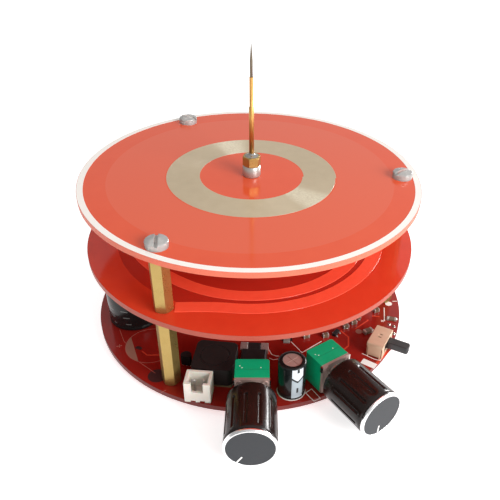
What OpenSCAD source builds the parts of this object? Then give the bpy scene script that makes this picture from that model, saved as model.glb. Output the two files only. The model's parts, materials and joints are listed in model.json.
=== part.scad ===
// Desktop resonant transformer: three round circuit boards stacked on hexagon
// spacers, flat spiral windings, a needle electrode, two potentiometers with
// push-on knobs, a slide switch and a two-pin power header.
// Origin: on the boards' common axis, at the underside of the feet. +Z is up,
// the front with the knobs faces -Y. Millimetres.

/* [Boards] */
// Diameter of the three round boards
board_d = 100; // [94:1:120]
// Thickness of each board
board_t = 1.6; // [1.2:0.1:2.4]
// Clear height between the control board and the primary board
lower_gap = 25; // [22:0.5:40]
// Clear height between the primary board and the secondary board
upper_gap = 18; // [12:0.5:40]
// Height of the foot screws' heads
foot_h = 2.4; // [2.2:0.1:5]

/* [Spacers and screws] */
// Distance of the spacers' axes from the boards' rim
spacer_inset = 5; // [4.5:0.1:7]
// Direction of the first spacer, seen from above
spacer_az = 3.3; // [0:0.1:8]
// Width across the spacers' flats
spacer_af = 4.8; // [4.5:0.1:6]
// Bevel at the spacers' ends
spacer_bevel = 0.4; // [0.1:0.05:0.8]
// Diameter of the screw thread
thread_d = 3; // [2.5:0.1:3.4]
// Radial play of a thread in its tapped hole
thread_play = 0.05; // [0.02:0.01:0.1]
// Radial play of a screw in a board
board_play = 0.1; // [0.05:0.05:0.3]
// Length of thread in each spacer end
thread_len = 6; // [4:0.5:8]
// Diameter of the top screws' pan heads
head_d = 6; // [5.5:0.1:7.5]
// Diameter of the foot screws' flat heads
foot_head_d = 6.4; // [6.4:0.1:7.5]
// Height of the top screws' heads
top_head_h = 2.3; // [1.8:0.1:3.5]
// Width of the screws' slots
slot_w = 0.9; // [0.5:0.1:1.4]
// Depth of the screws' slots
slot_depth = 1.1; // [0.5:0.1:1.4]

/* [Secondary winding] */
// Inner radius of the tinned winding
secondary_in_r = 15.1; // [10:0.1:17]
// Radial width of the tinned winding
secondary_band = 10; // [8:0.1:14]
// Turns of the tinned winding
secondary_turns = 12; // [6:1:12]
// Clear space between neighbouring turns
secondary_space = 0.42; // [0.42:0.01:0.5]
// Height of its track
secondary_h = 0.15; // [0.05:0.05:0.3]

/* [Primary winding] */
// Distance of the outer turn's middle inside the spacers' circle
primary_inset = 5.95; // [5.8:0.05:8]
// Width of the primary track
primary_track = 4.15; // [3.5:0.05:4.6]
// Step from one primary turn to the next
primary_pitch = 5.6; // [5.2:0.1:7]
// Turns of the primary, without its lead
primary_turns = 1.8; // [1.5:0.1:2.8]
// Height of the primary track under its lacquer
primary_h = 0.15; // [0.05:0.05:0.3]

/* [Electrode] */
// Diameter of the round tinned socket
socket_d = 5.3; // [5:0.1:8]
// Height of the socket above the board
socket_h = 3.2; // [2:0.1:6]
// Diameter of the socket's stem in the board
stem_d = 2.9; // [2.4:0.1:3.5]
// Width across the brass nut's flats
nut_af = 4.7; // [4.2:0.1:5]
// Height of the brass nut
nut_h = 2.9; // [2:0.1:5]
// Diameter of the electrode's lower stretch
rod_d = 1.4; // [1.2:0.05:1.8]
// Diameter of the rod's spigot in the nut and the socket
spigot_d = 1; // [0.9:0.05:1.1]
// Diameter of the electrode's upper stretch
rod_top_d = 1.06; // [0.9:0.02:1.1]
// Height of the shoulder between the two, over the board
rod_step_z = 20.4; // [12:0.2:24]
// Height of the brass rod over the board
rod_top_z = 28.8; // [26:0.2:34]
// Diameter of the steel needle
needle_d = 0.8; // [0.6:0.05:0.85]
// Height of the needle's tip over the board
tip_z = 37.6; // [36:0.2:45]
// Length of the needle's point
point_len = 4.5; // [2:0.1:6]

/* [Potentiometers] */
// Distance of the left bracket's face from the rim
left_pot_inset = 0.6; // [0.4:0.1:2]
// Distance of the right bracket's face from the rim
right_pot_inset = 1.5; // [1:0.1:3]
// Width of the housings
pot_w = 9.5; // [9:0.1:10.4]
// Depth of the green housings
pot_depth = 7.2; // [6:0.1:8]
// Height of the housings
pot_h = 10.6; // [10:0.1:12]
// Height of the shafts' axes over the board
pot_axis_h = 6; // [5.6:0.1:6.4]
// Thickness of the brackets
bracket_t = 0.8; // [0.5:0.05:1]
// Diameter of the bushes
bush_d = 7; // [6.9:0.1:7.4]
// Length of the bushes
bush_len = 5; // [3.5:0.1:5.5]
// Diameter of the shafts
shaft_d = 6; // [5.5:0.1:6]
// Radial running play of the shafts
shaft_play = 0.05; // [0.03:0.01:0.08]
// Length of the shafts from the bracket's face
shaft_len = 15; // [13:0.5:16]

/* [Knobs] */
// Diameter of the knobs
knob_d = 14; // [12.6:0.1:16]
// Length of the knobs
knob_len = 17; // [16:0.5:20]
// Gap from the bracket's face to the knob
knob_gap = 2.4; // [2.3:0.1:3]
// Number of grip flutes
flutes = 12; // [8:1:24]
// Width of the grip flutes
flute_w = 1; // [0.6:0.1:1.4]
// Depth of the grip flutes
flute_depth = 0.35; // [0.1:0.05:0.5]
// Wall of the knob's shell
knob_wall = 1.2; // [1.1:0.1:1.5]
// Width of the bright ring
ring_w = 0.8; // [0.7:0.1:2]
// Width of the bright ring's face round the disc
ring_rim = 0.7; // [0.6:0.1:1]
// Bevel of the bright ring
ring_bevel = 0.4; // [0.2:0.05:0.5]
// Thickness of the face disc
disc_t = 0.5; // [0.4:0.1:1]
// Direction of the left pointer line
left_pointer = -123.5; // [-180:0.5:180]
// Direction of the right pointer line
right_pointer = -95.5; // [-180:0.5:180]

/* [Slide switch] */
// Distance of the switch's middle from the rim
switch_inset = 2.95; // [2.8:0.05:4]
// Length of the switch
switch_len = 9.6; // [9:0.1:12]
// Width of the switch
switch_w = 5.2; // [4.6:0.1:5.4]
// Height of the switch
switch_h = 5.2; // [4.8:0.1:6]
// Thickness of its metal shell
shell_t = 0.35; // [0.2:0.05:0.5]
// Thickness of its insulating base
base_t = 1; // [0.8:0.1:1.3]
// Travel of the lever
switch_travel = 2; // [1.5:0.1:2.5]
// Width of the lever
lever_w = 2.8; // [2:0.1:3]
// Height of the lever
lever_h = 2.4; // [2:0.1:2.6]
// Length of the lever outside the shell
lever_len = 6.7; // [3:0.1:8]

/* [Power header] */
// Distance of the header's middle from the rim
header_inset = 2.9; // [2.7:0.1:4]
// Length of the header
header_len = 7.4; // [7.2:0.1:9]
// Width of the header
header_w = 5.75; // [5.5:0.05:7]
// Height of the header
header_h = 7; // [6.4:0.1:9]
// Wall of the header
header_wall = 0.85; // [0.6:0.05:1]
// Spacing of the header's two pins
pin_pitch = 2.5; // [2.5:0.04:2.54]
// Width of the square pins
pin_w = 0.64; // [0.5:0.02:0.7]

/* [Capacitors] */
// Diameter of the large capacitor
big_cap_d = 16; // [14:0.5:16.5]
// Height of the large capacitor
big_cap_h = 20; // [16:0.5:21]
// Diameter of the small capacitor
small_cap_d = 8; // [6.3:0.1:8.4]
// Height of the small capacitor
small_cap_h = 12; // [9:0.5:16]
// Thickness of the printed sleeves
sleeve_t = 0.2; // [0.1:0.05:0.3]

/* [Power parts] */
// Width of the power choke
choke_w = 12; // [10:0.1:12.2]
// Height of the power choke
choke_h = 6.8; // [5:0.1:9]
// Width of the power transistor
power_w = 7.8; // [6.5:0.1:8]
// Height of the power transistor
power_h = 4.4; // [2.2:0.1:5]

/* [Leads] */
// Radial play of a lead in its hole
lead_play = 0.1; // [0.05:0.05:0.2]
// Length of the leads under the control board
lead_out = 1.3; // [0.8:0.1:1.5]

/* [Hidden] */

$fn = 64;
eps = 0.02;
board_r = board_d / 2;
spacer_r = board_r - spacer_inset;
primary_r = spacer_r - primary_inset;

// Levels
control_z = foot_h;
control_top = control_z + board_t;
primary_z = control_top + lower_gap;
primary_top = primary_z + board_t;
secondary_z = primary_top + upper_gap;
secondary_top = secondary_z + board_t;

// Threads and clearance holes
screw_r = thread_d / 2 - thread_play;
tapped_r = thread_d / 2;
clear_r = screw_r + board_play;
stem_r = stem_d / 2;

// Turns of the hexagons, as assembled by hand
lower_turn = -4.4;
upper_turn = 50;
nut_turn = 20;

// Places on the control board: direction from the centre, then direction faced
left_pot_az = -85.8;
left_pot_face = -86.8;
right_pot_az = -56.7;
right_pot_face = -52.3;
switch_az = -29.1;
switch_face = -25;
header_az = -104.1;
header_face = -92;
big_cap_az = -162.2;
big_cap_inset = 11.1;
small_cap_az = -71.3;
small_cap_inset = 5.3;
choke_az = -102.5;
header_room = 1.1;
choke_inset = header_inset + header_w / 2 + header_room + choke_w / 2;
choke_face = -94;
power_az = -85.1;
power_inset = 16.7;
power_face = -90;
signal_az = -116.5;
signal_inset = 12.1;
signal_face = -100;
diode_az = -57;
diode_inset = 27.1;
diode_face = -90;
small_chip_az = -31.3;
small_chip_inset = 17.2;
small_chip_face = 60;

// Small surface parts: inset, direction, turn, [length, width, height]
small_chip = [1.6, 0.8, 0.5];
middle_chip = [2, 1.25, 1.25];
low_chip = [3.2, 1.6, 0.6];
tall_chip = [3.2, 1.6, 1.2];
chips = [
    [23.3, -45.9, 20, middle_chip],
    [19.2, -36.8, 20, middle_chip],
    [15.8, -23.6, 25, middle_chip],
    [14.1, -18.6, 25, middle_chip],
    [12.8, -14.2, 70, small_chip],
    [7.8, -6.4, 30, middle_chip],
    [2.5, -10.4, -10, low_chip],
    [8.6, -22.1, 30, tall_chip]
];
chip_end = 0.22;   // share of a chip's length under each tinned end

module on_rim(inset, az, face) {
    translate([(board_r - inset) * cos(az), (board_r - inset) * sin(az), control_top])
        rotate(face) children();
}
module at_left_pot() { on_rim(left_pot_inset, left_pot_az, left_pot_face) children(); }
module at_right_pot() { on_rim(right_pot_inset, right_pot_az, right_pot_face) children(); }
module at_switch() { on_rim(switch_inset, switch_az, switch_face) children(); }
module at_header() { on_rim(header_inset, header_az, header_face) children(); }
module at_big_cap() { on_rim(big_cap_inset, big_cap_az, big_cap_az) children(); }
module at_small_cap() { on_rim(small_cap_inset, small_cap_az, small_cap_az + 90) children(); }
module at_choke() { on_rim(choke_inset, choke_az, choke_face) children(); }
module at_power() { on_rim(power_inset, power_az, power_face) children(); }
module at_signal() { on_rim(signal_inset, signal_az, signal_face) children(); }
module at_diode() { on_rim(diode_inset, diode_az, diode_face) children(); }
module at_switch_transistor() {
    on_rim(small_chip_inset, small_chip_az, small_chip_face) children();
}

// Turns a part drawn along +Z so that it lies along +X at the shaft's height
module along_shaft() { translate([0, 0, pot_axis_h]) rotate([0, 90, 0]) children(); }

module thirds() {
    for (k = [0:2]) rotate(spacer_az + 120 * k) translate([spacer_r, 0, 0]) children();
}

module round_rect(x, y, r) {
    square([x - 2 * r, y], center = true);
    square([x, y - 2 * r], center = true);
    for (sx = [-1, 1], sy = [-1, 1])
        translate([sx * (x / 2 - r), sy * (y / 2 - r)]) circle(r = r, $fn = 32);
}

// ---- Leads: place and radius in each part's own frame
pot_rear_x = -bracket_t - pot_depth;
pot_pin = [0.6, 0.5];
pot_pin_x = pot_rear_x + 1.2;
pot_leads = [for (k = [-1:1]) [pot_pin_x, 2.5 * k, norm(pot_pin) / 2]];
leg = [0.5, 0.8];
leg_x = (leg[0] - 2 * bracket_t) / 2;
leg_y = pot_w / 2 - 0.9;
pot_legs = [for (s = [-1, 1]) [leg_x, s * leg_y, norm(leg) / 2]];
switch_pin_r = 0.3;
switch_leads = [for (k = [-1:1]) [0, 2.5 * k, switch_pin_r]];
header_pin_x = -0.4;
header_leads = [for (s = [-1, 1]) [header_pin_x, s * pin_pitch / 2, pin_w / sqrt(2)]];
big_lead_r = 0.4;
big_leads = [for (s = [-1, 1]) [0, s * 3.75, big_lead_r]];
small_lead_r = 0.3;
small_leads = [for (s = [-1, 1]) [0, s * 1.75, small_lead_r]];
signal_lead_r = 0.22;
signal_leads_at = [for (k = [-1:1]) [0, 1.1 * k, signal_lead_r]];

module drill(leads) {
    for (p = leads)
        translate([p[0], p[1], -board_t - eps])
            cylinder(r = p[2] + lead_play, h = board_t + 2 * eps, $fn = 24);
}
module round_leads(leads, top) {
    for (p = leads)
        translate([p[0], p[1], -board_t - lead_out])
            cylinder(r = p[2], h = board_t + lead_out + top, $fn = 24);
}
module joints(leads) {
    joint_h = lead_out * 0.55;
    for (p = leads)
        translate([p[0], p[1], -board_t - joint_h])
            difference() {
                cylinder(r1 = p[2] + 0.12, r2 = p[2] + 0.65, h = joint_h, $fn = 24);
                translate([0, 0, -eps]) cylinder(r = p[2], h = joint_h + 2 * eps, $fn = 24);
            }
}

// ---- Boards
module control_board() {
    color("firebrick") difference() {
        translate([0, 0, control_z]) cylinder(r = board_r, h = board_t, $fn = 128);
        translate([0, 0, control_z - eps]) thirds() cylinder(r = clear_r, h = board_t + 2 * eps);
        at_left_pot() drill(concat(pot_leads, pot_legs));
        at_right_pot() drill(concat(pot_leads, pot_legs));
        at_switch() drill(switch_leads);
        at_header() drill(header_leads);
        at_big_cap() drill(big_leads);
        at_small_cap() drill(small_leads);
        at_signal() drill(signal_leads_at);
    }
}
module primary_board() {
    color("firebrick") difference() {
        translate([0, 0, primary_z]) cylinder(r = board_r, h = board_t, $fn = 128);
        translate([0, 0, primary_z - eps]) thirds() cylinder(r = clear_r, h = board_t + 2 * eps);
    }
}
module secondary_board() {
    color("tomato") difference() {
        translate([0, 0, secondary_z]) cylinder(r = board_r, h = board_t, $fn = 128);
        translate([0, 0, secondary_z - eps]) {
            thirds() cylinder(r = clear_r, h = board_t + 2 * eps);
            cylinder(r = stem_r + lead_play, h = board_t + 2 * eps);
        }
    }
}

// ---- Windings: one unbroken flat track, swept along a radius that is a
// function of the angle
secondary_steps = 36;   // rings in a turn
primary_steps = 90;

function track_ring(a, r, w, z, h) = [
    for (q = [[-1, 0], [1, 0], [1, 1], [-1, 1]])
        [(r + q[0] * w / 2) * cos(a), (r + q[0] * w / 2) * sin(a), z + q[1] * h]
];
function track_sides(n) = [
    for (i = [0:n - 2], k = [0:3])
        let (a = 4 * i + k, b = 4 * i + (k + 1) % 4, c = a + 4, d = b + 4)
            each [[a, b, c], [b, d, c]]
];
function track_ends(n) = let (e = 4 * (n - 1)) [
    [0, 2, 1], [0, 3, 2], [e, e + 1, e + 2], [e, e + 2, e + 3]
];
module track(rings) {
    n = len(rings);
    polyhedron(
        points = [for (ring = rings) each ring],
        faces = [for (t = concat(track_sides(n), track_ends(n))) [t[0], t[2], t[1]]]
    );
}
// Least distance between the near edges of neighbouring turns, on the points
function turn_gap(rings, steps, inner, outer) = min([
    for (i = [0:len(rings) - 1 - steps], k = [-3:3])
        let (j = i + steps + k)
            if (j >= 0 && j < len(rings)) norm(rings[j][inner] - rings[i][outer])
]);

secondary_pitch = (secondary_band + secondary_space) / (secondary_turns + 1);
secondary_track = secondary_pitch - secondary_space;
secondary_rings = [
    for (i = [0:secondary_turns * secondary_steps])
        let (a = i * 360 / secondary_steps)
            track_ring(a, secondary_in_r + secondary_track / 2 + secondary_pitch * a / 360,
                secondary_track, secondary_top, secondary_h)
];
secondary_gap = turn_gap(secondary_rings, secondary_steps, 0, 1);
echo(str("secondary winding: least gap between turns ", secondary_gap, " mm"));

// The primary starts at the front spacer, swings in to its outer turn, and
// steps in by one pitch over the stretch of each turn that lies at the left
lead_start = spacer_az - 117;
lead_sweep = 20;
lead_rise = primary_inset - 1.7;
step_start = 270;
step_sweep = 85;
function ease(u) = let (t = min(1, max(0, u))) t * t * (3 - 2 * t);
function primary_radius(a) =
    primary_r
    + lead_rise * pow(max(0, 1 - a / lead_sweep), 2)
    - primary_pitch * ([for (k = [0:2]) ease((a - step_start - 360 * k) / step_sweep)] * [1, 1, 1]);
primary_rings = [
    for (i = [0:round(primary_turns * primary_steps)])
        let (a = i * 360 / primary_steps)
            track_ring(lead_start + a, primary_radius(a), primary_track, primary_top, primary_h)
];
primary_gap = turn_gap(primary_rings, primary_steps, 1, 0);
echo(str("primary winding: least gap between turns ", primary_gap, " mm"));

pad_play = 0.3;   // free ring between a spacer's corners and the track
module secondary_winding() { color("silver") track(secondary_rings); }
module primary_winding() {
    color("orangered") difference() {
        track(primary_rings);
        translate([0, 0, primary_top - eps]) thirds()
            cylinder(r = spacer_af / sqrt(3) + pad_play, h = primary_h + 2 * eps, $fn = 32);
    }
}

// ---- Spacers and screws
tapped_len = thread_len + 1;
module hex_prism(af, h, bevel) {
    corner_r = af / sqrt(3);
    intersection() {
        cylinder(r = corner_r, h = h, $fn = 6);
        union() {
            cylinder(r1 = corner_r - bevel, r2 = corner_r, h = bevel);
            translate([0, 0, bevel]) cylinder(r = corner_r + eps, h = h - 2 * bevel);
            translate([0, 0, h - bevel]) cylinder(r1 = corner_r, r2 = corner_r - bevel, h = bevel);
        }
    }
}
module lower_spacers() {
    color("goldenrod") translate([0, 0, control_top]) thirds() rotate(lower_turn)
        difference() {
            hex_prism(spacer_af, lower_gap, spacer_bevel);
            translate([0, 0, -eps]) cylinder(r = tapped_r, h = tapped_len + eps);
            translate([0, 0, lower_gap - tapped_len]) cylinder(r = tapped_r, h = tapped_len + eps);
        }
}
module upper_spacers() {
    stud_len = board_t + thread_len;
    color("goldenrod") thirds() rotate(upper_turn) {
        difference() {
            translate([0, 0, primary_top]) hex_prism(spacer_af, upper_gap, spacer_bevel);
            translate([0, 0, secondary_z - tapped_len]) cylinder(r = tapped_r, h = tapped_len + eps);
        }
        translate([0, 0, primary_top - stud_len]) cylinder(r = screw_r, h = stud_len + eps);
    }
}
// A pan head on z = 0, slotted across, with its shank below
module pan_screw(head_h, shank_len) {
    edge_r = 0.5;
    dome = 0.45;
    flat_r = head_d / 2 - edge_r;
    edge_z = head_h - edge_r - dome;
    difference() {
        union() {
            rotate_extrude() polygon(concat(
                [[0, 0], [head_d / 2, 0], [head_d / 2, edge_z]],
                [for (a = [0:15:75]) [flat_r + edge_r * cos(a), edge_z + edge_r * sin(a)]],
                [for (x = [4:-1:0]) [flat_r * x / 4, head_h - dome * pow(x / 4, 2)]]
            ));
            translate([0, 0, -shank_len]) cylinder(r = screw_r, h = shank_len + eps);
        }
        translate([-head_d, -slot_w / 2, head_h - slot_depth])
            cube([2 * head_d, slot_w, slot_depth + 1]);
    }
}
slot_turn = 35;
module top_screws() {
    color("white", 0.6) translate([0, 0, secondary_top]) thirds()
        rotate(slot_turn) pan_screw(top_head_h, board_t + thread_len);
}
// The foot screws stand on their broad flat heads
module foot_screws() {
    bevel = 0.4;
    foot_r = foot_head_d / 2;
    shank_len = board_t + thread_len;
    color("white", 0.6) translate([0, 0, control_z]) thirds() mirror([0, 0, 1]) {
        cylinder(r = foot_r, h = foot_h - bevel);
        translate([0, 0, foot_h - bevel]) cylinder(r1 = foot_r, r2 = foot_r - bevel, h = bevel);
        translate([0, 0, -shank_len]) cylinder(r = screw_r, h = shank_len + eps);
    }
}

// ---- Electrode: socket, nut, solder collar, rod on its spigot, needle
bore_depth = 2;      // of the rod in the socket
needle_depth = 3;    // of the needle in the rod
collar_h = 0.85;
under_h = 0.6;       // solder under the board
nut_z = secondary_top + socket_h;
collar_z = nut_z + nut_h;

module electrode_socket() {
    color("gainsboro") translate([0, 0, secondary_top]) difference() {
        union() {
            rotate_extrude() polygon([
                [0, 0], [socket_d / 2 - 0.1, 0], [socket_d / 2, 0.25],
                [socket_d / 2, socket_h - 0.3], [socket_d / 2 - 0.3, socket_h], [0, socket_h]
            ]);
            translate([0, 0, -board_t - under_h]) cylinder(r = stem_r, h = board_t + under_h + eps);
        }
        translate([0, 0, socket_h - bore_depth])
            cylinder(r = spigot_d / 2, h = bore_depth + eps, $fn = 32);
    }
}
module electrode_nut() {
    color("goldenrod") translate([0, 0, nut_z]) rotate(nut_turn) difference() {
        hex_prism(nut_af, nut_h, 0.3);
        translate([0, 0, -eps]) cylinder(r = spigot_d / 2, h = nut_h + 2 * eps, $fn = 32);
    }
}
module electrode_solder() {
    color("silver") {
        translate([0, 0, collar_z]) difference() {
            rotate_extrude() polygon([
                [0, 0], [nut_af / 2 - 0.4, 0], [nut_af / 2 - 0.75, 0.22],
                [rod_d / 2 + 0.35, collar_h / 2], [rod_d / 2 + 0.08, collar_h], [0, collar_h]
            ]);
            translate([0, 0, -eps]) cylinder(r = spigot_d / 2, h = collar_h + 2 * eps, $fn = 32);
        }
        translate([0, 0, secondary_z]) mirror([0, 0, 1]) difference() {
            cylinder(r1 = stem_r + 0.9, r2 = stem_r + 0.1, h = under_h);
            translate([0, 0, -eps]) cylinder(r = stem_r, h = under_h + 2 * eps);
        }
    }
}
module electrode_rod() {
    foot = nut_z - bore_depth;
    shoulder = collar_z + collar_h;
    step = secondary_top + rod_step_z;
    top = secondary_top + rod_top_z;
    cone_h = 0.3;
    color("goldenrod") difference() {
        union() {
            translate([0, 0, foot]) cylinder(r = spigot_d / 2, h = shoulder - foot + eps, $fn = 32);
            translate([0, 0, shoulder]) cylinder(r = rod_d / 2, h = step - shoulder, $fn = 32);
            translate([0, 0, step]) cylinder(r1 = rod_d / 2, r2 = rod_top_d / 2, h = cone_h, $fn = 32);
            translate([0, 0, step]) cylinder(r = rod_top_d / 2, h = top - step, $fn = 32);
        }
        translate([0, 0, top - needle_depth])
            cylinder(r = needle_d / 2, h = needle_depth + eps, $fn = 32);
    }
}
module electrode_needle() {
    point_r = 0.06;
    foot = secondary_top + rod_top_z - needle_depth;
    shoulder = secondary_top + tip_z - point_len;
    color("dimgray") {
        translate([0, 0, foot]) cylinder(r = needle_d / 2, h = shoulder - foot, $fn = 32);
        translate([0, 0, shoulder])
            cylinder(r1 = needle_d / 2, r2 = point_r, h = point_len, $fn = 32);
    }
}

// ---- Potentiometers, in a frame at the bracket's face: +X along the shaft
flange_d = shaft_d + 1.6;
flange_t = 1.2;
flange_play = 0.3;
body_foot = 0.3;
pin_recess = 1.8;
pin_recess_w = 6.8;
pin_recess_h = 2;

module pot_body() {
    color("seagreen") difference() {
        translate([-bracket_t - pot_depth / 2, 0, body_foot]) union() {
            linear_extrude(pot_h - body_foot) round_rect(pot_depth, pot_w, 0.7);
            for (s = [-1, 1]) translate([pot_depth / 2 - 1.5, s * (pot_w / 2 - 1.5), 0])
                linear_extrude(pot_h - body_foot) square([3, 3], center = true);
            // Standing pips under the housing
            for (s = [-1, 1]) translate([0, s * (pot_w / 2 - 1.6), -body_foot])
                cylinder(r = 0.7, h = body_foot + eps, $fn = 24);
        }
        along_shaft() translate([0, 0, -bracket_t - flange_t - 2 * flange_play])
            cylinder(r = flange_d / 2 + flange_play, h = flange_t + 2 * flange_play + 1);
        // Rear recess that the three pins leave through
        translate([pot_rear_x - eps, -pin_recess_w / 2, -eps])
            cube([pin_recess + eps, pin_recess_w, pin_recess_h]);
    }
}
module pot_bracket() {
    rivet_r = 0.85;
    color("rosybrown") {
        difference() {
            translate([-bracket_t, -pot_w / 2, body_foot])
                cube([bracket_t, pot_w, pot_h - body_foot]);
            along_shaft() translate([0, 0, -bracket_t - eps])
                cylinder(r = bush_d / 2, h = bracket_t + 2 * eps);
        }
        // Swaged rivets in the upper corners
        for (s = [-1, 1]) translate([0, s * (pot_w / 2 - 1.2), pot_h - 1.2]) rotate([0, 90, 0])
            difference() {
                cylinder(r = rivet_r, h = 0.35, $fn = 24);
                translate([0, 0, 0.1]) cylinder(r1 = 0.3, r2 = 0.6, h = 0.3, $fn = 24);
            }
        // Legs in the board
        for (s = [-1, 1])
            translate([leg_x - leg[0] / 2, s * leg_y - leg[1] / 2, -board_t - lead_out])
                cube([leg[0], leg[1], board_t + lead_out + body_foot + eps]);
    }
}
module pot_bush() {
    bevel = 0.4;
    color("silver") along_shaft() difference() {
        union() {
            translate([0, 0, -bracket_t])
                cylinder(r = bush_d / 2, h = bracket_t + bush_len - bevel);
            translate([0, 0, bush_len - bevel])
                cylinder(r1 = bush_d / 2, r2 = bush_d / 2 - 0.3, h = bevel);
        }
        translate([0, 0, -bracket_t - eps])
            cylinder(r = shaft_d / 2 + shaft_play, h = bracket_t + bush_len + 2 * eps);
    }
}
module pot_pins() {
    color("silver") for (p = pot_leads) {
        translate([p[0] - pot_pin[0] / 2, p[1] - pot_pin[1] / 2, -board_t - lead_out])
            cube([pot_pin[0], pot_pin[1], board_t + lead_out + 1.6]);
        translate([p[0], p[1] - pot_pin[1] / 2, 1.2])
            cube([pot_rear_x + pin_recess - p[0], pot_pin[1], 0.4]);
    }
}
rim_clear = 0.8;
knob_back = max(knob_gap, max(left_pot_inset, right_pot_inset) + rim_clear);
knob_face = knob_back + knob_len;
hub_top = shaft_len - knob_back + 0.3;   // where the blind bore ends, from the knob's back
spline_r = shaft_d / 2 - 0.05;
spline_root_r = shaft_d / 2 - 0.3;
spline_len = shaft_len - bush_len - 0.6;
shaft_slot = [1, 7];   // width and depth of the slot in the shaft's end
module pot_shaft() {
    color("gainsboro") along_shaft() difference() {
        union() {
            translate([0, 0, -bracket_t - flange_t - flange_play])
                cylinder(r = flange_d / 2, h = flange_t);
            translate([0, 0, -bracket_t - flange_play - eps])
                cylinder(r = shaft_d / 2, h = shaft_len + bracket_t + flange_play - spline_len + eps);
            // Splined end
            translate([0, 0, shaft_len - spline_len - eps]) linear_extrude(spline_len) polygon([
                for (i = [0:35]) (i % 2 == 0 ? spline_r : spline_root_r) * [cos(10 * i), sin(10 * i)]
            ]);
        }
        translate([-shaft_d, -shaft_slot[0] / 2, shaft_len - shaft_slot[1]])
            cube([2 * shaft_d, shaft_slot[0], shaft_slot[1] + 1]);
    }
}
// Hollow shell with a hub, grip flutes and a step that seats the bright ring
flute_start = 4.2;    // from the knob's back
flute_end = 2.8;      // short of the knob's face
flute_r = (pow(flute_w / 2, 2) + pow(flute_depth, 2)) / (2 * flute_depth);
module knob_body(pointer) {
    r = knob_d / 2;
    bore_r = shaft_d / 2 + 0.02;
    bush_clear_r = bush_d / 2 + 0.5;
    hub_z = bush_len - knob_back + 0.6;
    web_z = knob_len - ring_w - 4.6;
    seat_r = r - ring_rim;
    seat_z = knob_len - disc_t - 0.1;
    neck_r = r - 0.35;
    neck_z = knob_len - ring_w - 0.5;
    color([0.09, 0.07, 0.07]) along_shaft() translate([0, 0, knob_back]) difference() {
        rotate_extrude() polygon([
            [bore_r, hub_z], [bush_clear_r, hub_z], [bush_clear_r, web_z], [r - knob_wall, web_z],
            [r - knob_wall, 0], [r - 0.7, 0], [r - 0.25, 0.5], [r - 0.15, 3],
            [r - 0.05, neck_z - 0.4], [neck_r, neck_z], [neck_r, knob_len - ring_w],
            [seat_r, knob_len - ring_w], [seat_r, seat_z], [0, seat_z],
            [0, hub_top], [bore_r, hub_top]
        ]);
        // The pointer line lies midway between two flutes
        for (i = [0:flutes - 1]) rotate(90 + pointer + (i + 0.5) * 360 / flutes)
            translate([r - 0.1 + flute_r - flute_depth, 0, flute_start])
                cylinder(r = flute_r, h = knob_len - flute_start - flute_end, $fn = 32);
    }
}
module knob_ring() {
    r = knob_d / 2;
    color("whitesmoke") along_shaft() translate([0, 0, knob_face - ring_w]) rotate_extrude() polygon([
        [r - ring_rim, 0], [r, 0], [r, ring_w - ring_bevel], [r - ring_bevel, ring_w],
        [r - ring_rim, ring_w]
    ]);
}
module knob_disc(pointer) {
    r = knob_d / 2 - ring_rim;
    line_w = 0.5;
    line_depth = 0.12;
    color("slategray") along_shaft() translate([0, 0, knob_face - disc_t - 0.1]) difference() {
        cylinder(r = r, h = disc_t);
        rotate(90 + pointer) translate([r * 0.6, -line_w / 2, disc_t - line_depth])
            cube([r, line_w, 1]);
    }
}

module left_pot_body() { at_left_pot() pot_body(); }
module left_pot_bracket() { at_left_pot() pot_bracket(); }
module left_pot_bush() { at_left_pot() pot_bush(); }
module left_pot_pins() { at_left_pot() pot_pins(); }
module left_shaft() { at_left_pot() pot_shaft(); }
module left_knob() { at_left_pot() knob_body(left_pointer); }
module left_knob_ring() { at_left_pot() knob_ring(); }
module left_knob_disc() { at_left_pot() knob_disc(left_pointer); }
module right_pot_body() { at_right_pot() pot_body(); }
module right_pot_bracket() { at_right_pot() pot_bracket(); }
module right_pot_bush() { at_right_pot() pot_bush(); }
module right_pot_pins() { at_right_pot() pot_pins(); }
module right_shaft() { at_right_pot() pot_shaft(); }
module right_knob() { at_right_pot() knob_body(right_pointer); }
module right_knob_ring() { at_right_pot() knob_ring(); }
module right_knob_disc() { at_right_pot() knob_disc(right_pointer); }

// ---- Slide switch, in a frame at its middle: +X outwards, +Y along its length
slide_play = 0.1;
stop_play = 0.3;
lever_z = base_t + slide_play + 0.4;
slide_h = switch_h - shell_t - base_t - 2 * slide_play;
slide_len = switch_len - 2 * shell_t - switch_travel - 2 * stop_play;
window_len = lever_w + switch_travel + 2 * stop_play;

module switch_base() {
    color("saddlebrown") difference() {
        translate([-switch_w / 2 + shell_t, -switch_len / 2 + shell_t, 0])
            cube([switch_w - 2 * shell_t, switch_len - 2 * shell_t, base_t]);
        for (p = switch_leads) translate([p[0], p[1], -eps])
            cylinder(r = p[2], h = base_t + 2 * eps, $fn = 24);
    }
}
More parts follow.
